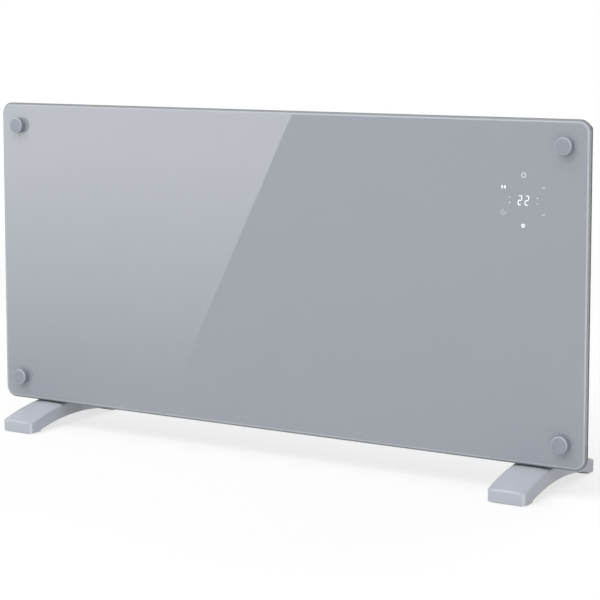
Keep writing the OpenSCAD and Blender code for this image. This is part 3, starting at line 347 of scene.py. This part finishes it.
def seen_in_pane(x, z):
    """Point of the card's upright plane that the camera sees mirrored at this point of the pane."""
    face = PANE_LOW.y
    eye = Vector((CAMERA_PLACE[0], 2 * face - CAMERA_PLACE[1], CAMERA_PLACE[2]))
    spot = Vector((x, face, z))
    reach = (CARD_Y - eye.y) / (spot.y - eye.y)
    return eye + (spot - eye) * reach


def hang_card(name, corners, material):
    """A flat light that only glossy surfaces mirror."""
    mesh = bpy.data.meshes.new(name)
    mesh.from_pydata(corners, [], [(0, 1, 2, 3)])
    card = bpy.data.objects.new(name, mesh)
    bpy.context.scene.collection.objects.link(card)
    card.visible_camera = card.visible_diffuse = card.visible_shadow = False
    card.visible_transmission = card.visible_volume_scatter = False
    dress(card, material)


def make_card():
    """A softbox with a slanted side, brightest above, that only glossy surfaces mirror."""
    x_top, z_top = CARD_EDGE_TOP
    x_low, z_low = CARD_EDGE_LOW
    slope = (x_top - x_low) / (z_top - z_low)
    above, below = PANE_HIGH.z + CARD_PAST, PANE_LOW.z - CARD_PAST
    left = PANE_LOW.x - CARD_PAST_LEFT
    corners = [(left, below), (x_low + slope * (below - z_low), below),
               (x_top + slope * (above - z_top), above), (left, above)]
    finish = Finish("softbox")
    _, _, z = finish.axes()
    high, low = (seen_in_pane(PANE_LOW.x, height).z for height in CARD_FADE)
    level = ((z - low) / (high - low)).at_least(0.0).at_most(1.0)
    strength = finish.shift(level, 1.0, CARD_LIGHT)
    shine = finish.node("ShaderNodeEmission", None, {"Color": WHITE, "Strength": strength})
    finish.node("ShaderNodeOutputMaterial", None, {"Surface": shine})
    hang_card("card", [seen_in_pane(x, z) for x, z in corners], finish.material)


def make_side_card():
    """A large softbox at the right front, which the rounded edges of the caps and feet mirror."""
    finish = Finish("side_softbox")
    shine = finish.node("ShaderNodeEmission", None, {"Color": WHITE, "Strength": SIDE_LIGHT})
    finish.node("ShaderNodeOutputMaterial", None, {"Surface": shine})
    middle = Vector(SIDE_PLACE)
    across = middle.cross(Vector((0.0, 0.0, 1.0))).normalized() * SIDE_SIZE / 2
    upwards = across.cross(middle).normalized() * SIDE_SIZE / 2
    corners = [middle + s * across + t * upwards for s, t in SQUARE]
    hang_card("side_card", corners, finish.material)


make_world()
make_floor()
make_card()
make_side_card()
make_lamp("key", KEY_PLACE, KEY_SIZE, KEY_POWER)
make_lamp("back", BACK_PLACE, BACK_SIZE, BACK_POWER)


# Finishes of the CAD nodes

def finish_pane():
    """Glass painted grey on its back.

    The smooth face ends in a pale ground bevel, partly a painted highlight, with a fine line of painted shade; the
    sides are painted darker towards the back as shade.
    """
    # Distances from the pane's outline: where the line of painted shade runs, the sides end and the pale bevel
    # ends
    shade_line_start, shade_line_end, shade_line_strength = 0.0015, 0.0021, 0.7
    arris, bevel_end, soft = 0.0018, 0.0041, 0.00015
    corner = 0.015
    # Depths from the pane's front: where the face ends and where the painted shade on the sides sets in
    face_depth, side_start, side_end = 0.0008, 0.0012, 0.0026
    cloud_size, grit_size, patch_size = 0.09, 0.0012, 0.02
    wave_size, wave_depth = 0.05, 0.000002
    finish = Finish("pane_glass")
    x, y, z = finish.axes()
    middle, half = (PANE_LOW + PANE_HIGH) / 2, (PANE_HIGH - PANE_LOW) / 2
    over_x = abs(x - middle.x) - (half.x - corner)
    over_z = abs(z - middle.z) - (half.z - corner)
    round_x, round_z = over_x.at_least(0.0), over_z.at_least(0.0)
    inside = corner - (round_x * round_x + round_z * round_z).root()
    inside = inside - over_x.at_least(over_z).at_most(0.0)
    face = inside.between(bevel_end - soft, bevel_end + soft)
    # A fine darker line of painted shade near the outline
    painted_shade_line = inside.between(shade_line_start - soft, shade_line_start + soft)
    painted_shade_line = painted_shade_line * inside.between(shade_line_end + soft, shade_line_end - soft)
    ground = inside.between(arris - 2 * soft, arris + 2 * soft)
    depth = y - PANE_LOW.y
    front = depth < face_depth
    paint = finish.blend(finish.noise(cloud_size, 1.0), tone(153, 157, 165), tone(155, 159, 167))
    # The bevel's pale tone is partly the ground glass and partly a painted highlight
    pale_bevel_and_highlight = finish.blend(finish.noise(grit_size), tone(174, 178, 184), tone(188, 192, 198))
    # Painted shade: the sides grow darker towards the back
    side = finish.blend(depth.between(side_start, side_end), tone(150, 154, 159), tone(102, 106, 111))
    side = finish.blend(finish.noise(patch_size) * 0.1, side, tone(140, 144, 149))
    colour = finish.blend(ground, side, pale_bevel_and_highlight)
    colour = finish.blend(painted_shade_line * shade_line_strength, colour, tone(112, 116, 122))
    colour = finish.blend(face * front, colour, paint)
    gloss = finish.shift(face, 0.25, 1.0)
    waves = finish.bump(finish.noise(wave_size, 0.0), wave_depth)
    return finish.end(colour, 0.35, 0.0, waves,
                      **{"Specular IOR Level": 0.0, "Coat Weight": gloss, "Coat Roughness": 0.012})


def grained(name, colour, spread, rough, grain, depth, metallic=0.0):
    """A moulded or powder-coated surface: fine grain in relief and a faint unevenness of colour."""
    cloud_size, speck_size = grain * 60.0, grain * 3.0
    finish = Finish(name)
    cloud = finish.noise(cloud_size, 2.0)
    grains = finish.noise(grain, 3.0)
    specks = finish.noise(speck_size, 1.0)
    share = cloud * 0.3 + grains * 0.4 + specks * 0.3
    mixed = finish.blend(share, lighter(colour, 1.0 - spread), lighter(colour, 1.0 + spread))
    shine = finish.shift(grains, rough - 0.06, rough + 0.06)
    return finish.end(mixed, shine, metallic, finish.bump(grains, depth))


def brushed(name, colour, rough, along):
    """Bare metal with fine lines along one axis."""
    line_width, line_stretch, line_depth = 0.0004, 40.0, 0.000015
    patch_size, spread = 0.012, 0.08
    stretch = tuple(line_stretch if axis == along else 1.0 for axis in "xyz")
    finish = Finish(name)
    lines = finish.noise(line_width, 3.0, stretch)
    patches = finish.noise(patch_size, 2.0)
    share = lines * 0.7 + patches * 0.3
    mixed = finish.blend(share, lighter(colour, 1.0 - spread), lighter(colour, 1.0 + spread))
    shine = finish.shift(lines, rough - 0.08, rough + 0.08)
    return finish.end(mixed, shine, 1.0, finish.bump(lines, line_depth))


def finish_feet():
    """Satin silver lacquer: fine flakes that catch the light, and a painted highlight along the edges."""
    flake_size, ground_size, broad_size, relief_depth = 0.0005, 0.004, 0.03, 0.00002
    # A face counts as an edge once the largest share of its direction along one axis falls below these
    flat, turned = 0.9, 0.78
    finish = Finish("foot_silver")
    flakes = finish.cells(flake_size)
    ground = finish.noise(ground_size, 3.0)
    broad = finish.noise(broad_size, 2.0)
    grain = flakes * 0.35 + ground * 0.35 + broad * 0.3
    colour = finish.blend(grain, tone(170, 174, 183), tone(192, 196, 204))
    facing = finish.node("ShaderNodeTexCoord", output="Normal")
    x, y, z = [abs(finish.node("ShaderNodeSeparateXYZ", None, {"Vector": facing}, k)) for k in "XYZ"]
    painted_edge_highlight = x.at_least(y).at_least(z).between(flat, turned)
    # Paler paint along the edges, a painted highlight
    colour = finish.blend(painted_edge_highlight * 0.3, colour, tone(214, 217, 224))
    rough = finish.shift(flakes, 0.3, 0.42)
    relief = finish.bump(flakes * 0.5 + ground, relief_depth)
    return finish.end(colour, rough, 0.05, relief, **{"Specular IOR Level": 0.25})


CAP_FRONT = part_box("cap_top_left")[0].y


def finish_caps():
    """Satin grey enamel: a softly mottled face, a painted highlight on the rounded edge, painted shade on the
    turned sides.
    """
    # Depths from the cap's front: where its rounded edge, with its painted highlight, and its sides, with their
    # painted shade, begin
    edge_start, edge_full = 0.0001, 0.0004
    side_start, side_full = 0.0014, 0.0022
    line_width, line_stretch = 0.0003, 30.0
    mottle_size, relief_depth = 0.0022, 0.00003
    finish = Finish("cap_metal")
    _, y, _ = finish.axes()
    depth = y - CAP_FRONT
    side = depth.between(side_start, side_full)
    painted_edge_highlight = depth.between(edge_start, edge_full)
    rings = finish.noise(line_width, 2.0, (1.0, line_stretch, 1.0))
    mottle = finish.noise(mottle_size, 2.0)
    colour = finish.blend(mottle, tone(138, 142, 152), tone(162, 166, 177))
    # The turned sides are painted darker as shade, with the real turned lines in them
    painted_shade_side = finish.blend(rings, tone(132, 135, 145), tone(144, 148, 158))
    # The rounded edge is painted pale, a painted highlight
    colour = finish.blend(painted_edge_highlight, colour, tone(187, 191, 200))
    colour = finish.blend(side, colour, painted_shade_side)
    relief = finish.bump(rings * side + mottle, relief_depth)
    rough = finish.shift(mottle, 0.3, 0.4)
    return finish.end(colour, rough, 0.0, relief, **{"Specular IOR Level": 0.12})


def finish_board(mask, copper):
    """Green solder mask over copper tracks that run in straight lanes, with bright lands."""
    lane_pitch, land_pitch, land_share, relief_depth = 0.00625, 0.0042, 0.12, 0.00003
    finish = Finish("circuit_board")
    x, _, z = finish.axes()
    flat = finish.node("ShaderNodeCombineXYZ", None, {"X": x, "Y": z})
    lanes = finish.node("ShaderNodeTexBrick", {"offset": 0.35, "squash": 0.8},
                        {"Vector": flat, "Scale": 1.0 / lane_pitch, "Mortar Size": 0.045,
                         "Mortar Smooth": 0.1}, "Fac")
    lands = finish.cells(land_pitch) < land_share
    colour = finish.blend(lanes, mask, lighter(mask, 1.8))
    colour = finish.blend(lands, colour, copper)
    relief = finish.bump(lanes * 0.6 + lands, relief_depth)
    return finish.end(colour, 0.32, 0.0, relief)


# Each slot's colour, its spread, the roughness, the grain's size and depth in metres, and any metal
GRAINED = {
    "soft_washer": (tone(205, 205, 202), 0.03, 0.5, 0.0008, 0.00002),
    "rubber_black": (tone(42, 42, 44), 0.12, 0.8, 0.0006, 0.00006),
    "carrier_paint": (tone(138, 141, 148), 0.12, 0.55, 0.0008, 0.00010),
    "case_paint": (tone(150, 153, 160), 0.12, 0.52, 0.0008, 0.00012),
    "end_cap_plastic": (tone(141, 144, 152), 0.09, 0.5, 0.0006, 0.00008),
    "black_screws": (tone(72, 73, 77), 0.1, 0.4, 0.0004, 0.00002, 0.8),
    "grille_plastic": (tone(122, 124, 131), 0.09, 0.5, 0.0006, 0.00008),
    "ceramic": (tone(236, 233, 224), 0.02, 0.22, 0.0025, 0.00002),
    "black_moulding": (tone(38, 38, 41), 0.1, 0.5, 0.0005, 0.00004),
    "dark_lens": (tone(24, 24, 27), 0.1, 0.12, 0.002, 0.000005),
    "white_nylon": (tone(226, 225, 216), 0.02, 0.48, 0.0007, 0.00003),
    "relay_blue": (tone(40, 62, 122), 0.06, 0.35, 0.0006, 0.00002),
    "capacitor_sleeve": (tone(34, 34, 44), 0.08, 0.25, 0.001, 0.00001),
    "switch_black": (tone(26, 26, 27), 0.08, 0.42, 0.0004, 0.00002),
    "tip_frame_plastic": (tone(70, 70, 74), 0.06, 0.5, 0.0005, 0.00003),
    "gland_black": (tone(36, 36, 38), 0.08, 0.5, 0.0005, 0.00004),
    "heat_lead": (tone(222, 218, 206), 0.04, 0.6, 0.0006, 0.00005),
    "small_lead": (tone(112, 78, 52), 0.05, 0.4, 0.0006, 0.00002),
}

# Each slot's colour, its roughness and the axis that its fine lines follow
BRUSHED = {
    "zinc_steel": (tone(196, 197, 200), 0.36, "z"),
    "bright_aluminium": (tone(212, 214, 217), 0.3, "x"),
    "nickel": (tone(206, 200, 188), 0.28, "x"),
    "spring_bronze": (tone(216, 178, 112), 0.25, "y"),
    "pendulum_brass": (tone(206, 180, 116), 0.3, "x"),
}


def finish_nodes():
    """Makes one finish for each of the record's material slots and dresses the nodes in them."""
    finishes = {
        "pane_glass": finish_pane(),
        "cap_metal": finish_caps(),
        "foot_silver": finish_feet(),
        "circuit_board": finish_board(tone(26, 92, 54), tone(206, 196, 168)),
    }
    finishes.update({slot: grained(slot, *values) for slot, values in GRAINED.items()})
    finishes.update({slot: brushed(slot, *values) for slot, values in BRUSHED.items()})
    for part in frame["record"]["subparts"]:
        dress(NODES[part["node"]], finishes[part["material_slot"]])
    return finishes


FINISHES = finish_nodes()


# Meshes from curves and profiles

def new_piece(name, corners, faces, material, body):
    """Makes a piece from its corners and faces, dresses it and lets it ride on a body."""
    mesh = bpy.data.meshes.new(name)
    mesh.from_pydata(corners.tolist(), [], faces.tolist())
    mesh.update()
    mesh.polygons.foreach_set("use_smooth", np.ones(len(mesh.polygons), bool))
    piece = bpy.data.objects.new(name, mesh)
    bpy.context.scene.collection.objects.link(piece)
    dress(piece, material)
    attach(piece, body)


def tube_faces(rings, points, closed):
    """Quads between rings of corners that are numbered ring by ring, joined all round each ring.

    On a closed path the last ring is joined to the first.
    """
    steps = rings if closed else rings - 1
    ring, point = np.meshgrid(np.arange(steps), np.arange(points), indexing="ij")
    next_ring, next_point = (ring + 1) % rings, (point + 1) % points
    quads = [ring * points + point, next_ring * points + point,
             next_ring * points + next_point, ring * points + next_point]
    return np.stack(quads, axis=-1).reshape(-1, 4)


# Points along a line, an arc and a circle, and across a line's dome
LINE_POINTS = 5
ARC_POINTS = 24
CIRCLE_POINTS = 32
DOME_POINTS = 7
# Steps in which a line's end narrows, and the share of the width that is left at the tip
END_STEPS = 6
END_SHARE = 0.02


def stroke(points, width, height, closed=False):
    """A domed line drawn on a plane: at each point of the path a half-ellipse stands across it.

    The half-ellipse narrows along a half circle towards both ends of an open path, so the ends are round.
    Returns corners as (along the plane, up the plane, out of the plane) and the faces, closed below.
    """
    path = np.asarray(points, float)
    if closed:
        along = np.roll(path, -1, axis=0) - np.roll(path, 1, axis=0)
        scale = np.ones(len(path))
    else:
        turn = np.linspace(0.0, math.pi / 2, END_STEPS + 1)[:-1]
        start, end = path[0] - path[1], path[-1] - path[-2]
        start, end = start / np.linalg.norm(start), end / np.linalg.norm(end)
        reach = width / 2 * np.cos(turn)
        head = path[0] + reach[:, None] * start
        tail = path[-1] + reach[::-1, None] * end
        narrowing = np.sin(turn) + END_SHARE
        scale = np.concatenate([narrowing, np.ones(len(path)), narrowing[::-1]])
        path = np.vstack([head, path, tail])
        along = np.gradient(path, axis=0)
    along = along / np.linalg.norm(along, axis=1)[:, None]
    across = np.stack([-along[:, 1], along[:, 0]], axis=1)
    angle = np.linspace(0.0, math.pi, DOME_POINTS)
    side = np.outer(scale, np.cos(angle)) * width / 2
    lift = np.outer(np.minimum(scale, 1.0), np.sin(angle)) * height
    flat = path[:, None, :] + side[:, :, None] * across[:, None, :]
    corners = np.concatenate([flat, lift[:, :, None]], axis=2).reshape(-1, 3)
    return corners, tube_faces(len(path), DOME_POINTS, closed)


def joined(shapes):
    """Several shapes as one: the corners in one list and the faces numbered on."""
    starts = np.cumsum([0] + [len(corners) for corners, _ in shapes[:-1]])
    corners = np.vstack([c for c, _ in shapes])
    faces = np.vstack([f + start for (_, f), start in zip(shapes, starts)])
    return corners, faces


def moved(shape, x, z):
    """A flat shape moved over its plane."""
    corners, faces = shape
    return corners + np.array([x, z, 0.0]), faces


def arc(radius, start, end):
    """Points of a circle's arc, with angles in degrees from the right and upwards."""
    turn = np.radians(np.linspace(start, end, ARC_POINTS))
    return np.stack([radius * np.cos(turn), radius * np.sin(turn)], axis=1)


def full_circle(radius):
    """Points all round a circle, the first one not repeated at the end."""
    turn = np.linspace(0.0, 2 * math.pi, CIRCLE_POINTS, endpoint=False)
    return np.stack([radius * np.cos(turn), radius * np.sin(turn)], axis=1)


def line(start, end):
    """Evenly spaced points from start to end."""
    return np.linspace(start, end, LINE_POINTS)


def on_pane(shape, x, z):
    """Stands a flat shape on the pane's face, its dome towards the viewer."""
    corners, faces = shape
    face = PANE_LOW.y
    placed = np.stack([corners[:, 0] + x, face - corners[:, 2], corners[:, 1] + z], axis=1)
    return placed, faces


# Lit digits and touch keys on the pane

def lit(name, colour, strength):
    """A light-guide's surface: soft white with its own, slightly uneven glow."""
    patch_size = 0.0009
    finish = Finish(name)
    glow = finish.blend(finish.noise(patch_size, 1.0), lighter(colour, 0.94), colour)
    return finish.end(glow, 0.4, 0.0, None, **{"Emission Color": glow, "Emission Strength": strength})


DISPLAY_LOW, DISPLAY_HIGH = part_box("digit_display")
DISPLAY_X = (DISPLAY_LOW.x + DISPLAY_HIGH.x) / 2
DISPLAY_Z = (DISPLAY_LOW.z + DISPLAY_HIGH.z) / 2
GLYPH_HEIGHT = 0.00008

DIGIT_HEIGHT = 0.0113
DIGIT_WIDTH = 0.0047
DIGIT_STEP = 0.0087
DIGIT_STROKE = 0.00085
# How far the digits lean to the right for each unit of height
DIGIT_LEAN = 0.10
# The bars of a two, from corner to corner of a frame that reaches from -1 to 1
BARS_OF_TWO = (((-1, 1), (1, 1)), ((1, 1), (1, 0)), ((1, 0), (-1, 0)),
               ((-1, 0), (-1, -1)), ((-1, -1), (1, -1)))

# The keys stand on a ring round the digits, and the arrows a little further up and down
KEY_RING = 0.0289
ARROW_SHIFT = 0.0008
# Places of the small marks beside the digits, from the display's middle
MARK_X = 0.0173
MARK_Z = 0.0032


def glyph(points, width, closed=False):
    """A lit line along the points."""
    return stroke(points, width, GLYPH_HEIGHT, closed)


def show(name, shape, x, z, material):
    """Lays a shape on the pane, at a place counted from the display's middle."""
    corners, faces = on_pane(shape, DISPLAY_X + x, DISPLAY_Z + z)
    new_piece(name, corners, faces, material, "heater")


def segment_digit(bars):
    """A digit of lit bars on a slanted frame, each bar a little short of its corners."""
    gap = DIGIT_STROKE * 0.85
    reach = np.array([DIGIT_WIDTH - DIGIT_STROKE, DIGIT_HEIGHT - DIGIT_STROKE]) / 2
    shapes = []
    for start, end in np.array(bars) * reach:
        way = (end - start) / np.linalg.norm(end - start)
        bar = line(start + way * gap, end - way * gap)
        bar[:, 0] += bar[:, 1] * DIGIT_LEAN
        shapes.append(glyph(bar, DIGIT_STROKE))
    return joined(shapes)


def make_digits(material):
    """Two lit digits in the middle of the ring of keys."""
    digit = segment_digit(BARS_OF_TWO)
    pair = joined([moved(digit, side * DIGIT_STEP / 2, 0.0) for side in (-1, 1)])
    show("lit_digits", pair, 0.0, 0.0, material)


def power_key():
    """An open ring with a short bar through its gap at the top."""
    radius, half_gap, ring_width = 0.0026, 22, 0.0007
    bar_low, bar_high, bar_width = 0.0020, 0.0034, 0.0006
    ring = glyph(arc(radius, 90 + half_gap, 450 - half_gap), ring_width)
    bar = glyph(line((0.0, bar_low), (0.0, bar_high)), bar_width)
    return joined([ring, bar])


def heat_key():
    """Two upright bars, for the two heat settings."""
    out, half, width = 0.00175, 0.0010, 0.0016
    bar = glyph(line((0.0, -half), (0.0, half)), width)
    return joined([moved(bar, side * out, 0.0) for side in (-1, 1)])


def timer_key():
    """A clock: a ring that is open at the upper right, and two hands."""
    radius, gap_start, gap_end, ring_width = 0.0028, 28, 82, 0.0006
    hand_up, hand_right, hand_width = 0.0016, 0.0012, 0.0005
    ring = glyph(arc(radius, gap_end, 360 + gap_start), ring_width)
    upright = line((0.0, hand_up), (0.0, 0.0))
    level = line((hand_width, 0.0), (hand_right, 0.0))
    return joined([ring, glyph(np.vstack([upright, level]), hand_width)])


def arrow_key(up):
    """A flat chevron that points up (1) or down (-1)."""
    half, rise, width = 0.0018, 0.0008 * up, 0.0009
    left = line((-half, -rise / 2), (0.0, rise / 2))
    right = line((half / 6, rise / 3), (half, -rise / 2))
    return glyph(np.vstack([left, right]), width)


def lamp_key():
    """A small sun: a ring with short rays."""
    radius, ring_width = 0.0015, 0.0008
    ray_start, ray_end, ray_width, rays = 0.0021, 0.0024, 0.0005, 8
    shapes = [glyph(full_circle(radius), ring_width, closed=True)]
    for angle in np.linspace(0.0, 2 * math.pi, rays, endpoint=False):
        way = np.array([math.cos(angle), math.sin(angle)])
        shapes.append(glyph(line(way * ray_start, way * ray_end), ray_width))
    return joined(shapes)


def small_marks():
    """Two pairs of short level marks, one pair on each side of the digits."""
    half, width = 0.0001, 0.0016
    mark = glyph(line((-half, 0.0), (half, 0.0)), width)
    return joined([moved(mark, x * MARK_X, z * MARK_Z) for x in (-1, 1) for z in (-1, 1)])


def make_keys(bright, middling, faint):
    """The six touch keys round the digits and the small marks beside them."""
    side_x, side_z = KEY_RING * math.cos(math.pi / 6), KEY_RING / 2
    arrow_z = side_z + ARROW_SHIFT
    show("key_power", power_key(), 0.0, KEY_RING, middling)
    show("key_heat", heat_key(), -side_x, side_z, bright)
    show("key_timer", timer_key(), -side_x, -side_z, faint)
    show("key_lamp", lamp_key(), 0.0, -KEY_RING, bright)
    show("key_up", arrow_key(1), side_x, arrow_z, faint)
    show("key_down", arrow_key(-1), side_x, -arrow_z, faint)
    show("key_marks", small_marks(), 0.0, 0.0, faint)


# Marks moulded on the rocker: a bar on the half that switches on and a ring on the other

# The face's distance from the pivot at its waist, and the lean of each half and of the whole rocker
ROCKER_WAIST = 0.0032
ROCKER_TILT = math.radians(9.0)
# The marks' distance from the waist along each half
MARK_OUT = 0.0047
MARK_HEIGHT = 0.00012
BAR_HALF = 0.0013
BAR_WIDTH = 0.0006
RING_RADIUS = 0.0014
RING_WIDTH = 0.0005
PIVOT = next(joint["pos_m"] for joint in frame["joints"] if joint["name"] == "rocker_press")


def on_rocker(shape, half):
    """Stands a flat shape on the rocker's upper (1) or lower (-1) face.

    Across the face runs along Y, the face's own direction is turned by the tilt from the rocker's upright
    and the whole rocker by the tilt once more about its pivot.
    """
    corners, faces = shape
    lean = ROCKER_TILT * half
    up = corners[:, 1] + half * MARK_OUT
    out = ROCKER_WAIST + up * math.sin(lean) + corners[:, 2] * math.cos(lean)
    rise = up * math.cos(lean) - corners[:, 2] * math.sin(lean)
    cos, sin = math.cos(ROCKER_TILT), math.sin(ROCKER_TILT)
    turned = np.stack([out * cos - rise * sin, corners[:, 0], out * sin + rise * cos], axis=1)
    return turned + np.array(PIVOT), faces


def make_rocker_marks(material):
    """A bar and a ring that turn with the rocker."""
    bar = stroke(line((0.0, -BAR_HALF), (0.0, BAR_HALF)), BAR_WIDTH, MARK_HEIGHT)
    ring = stroke(full_circle(RING_RADIUS), RING_WIDTH, MARK_HEIGHT, closed=True)
    for name, shape, half in (("rocker_bar", bar, 1), ("rocker_ring", ring, -1)):
        corners, faces = on_rocker(shape, half)
        new_piece(name, corners, faces, material, "rocker")


BRIGHT = lit("lit_bright", tone(244, 247, 252), 0.6)
MIDDLING = lit("lit_middling", tone(226, 229, 235), 0.3)
FAINT = lit("lit_faint", tone(200, 204, 211), 0.14)
make_digits(BRIGHT)
make_keys(BRIGHT, MIDDLING, FAINT)
make_rocker_marks(FINISHES["white_nylon"])
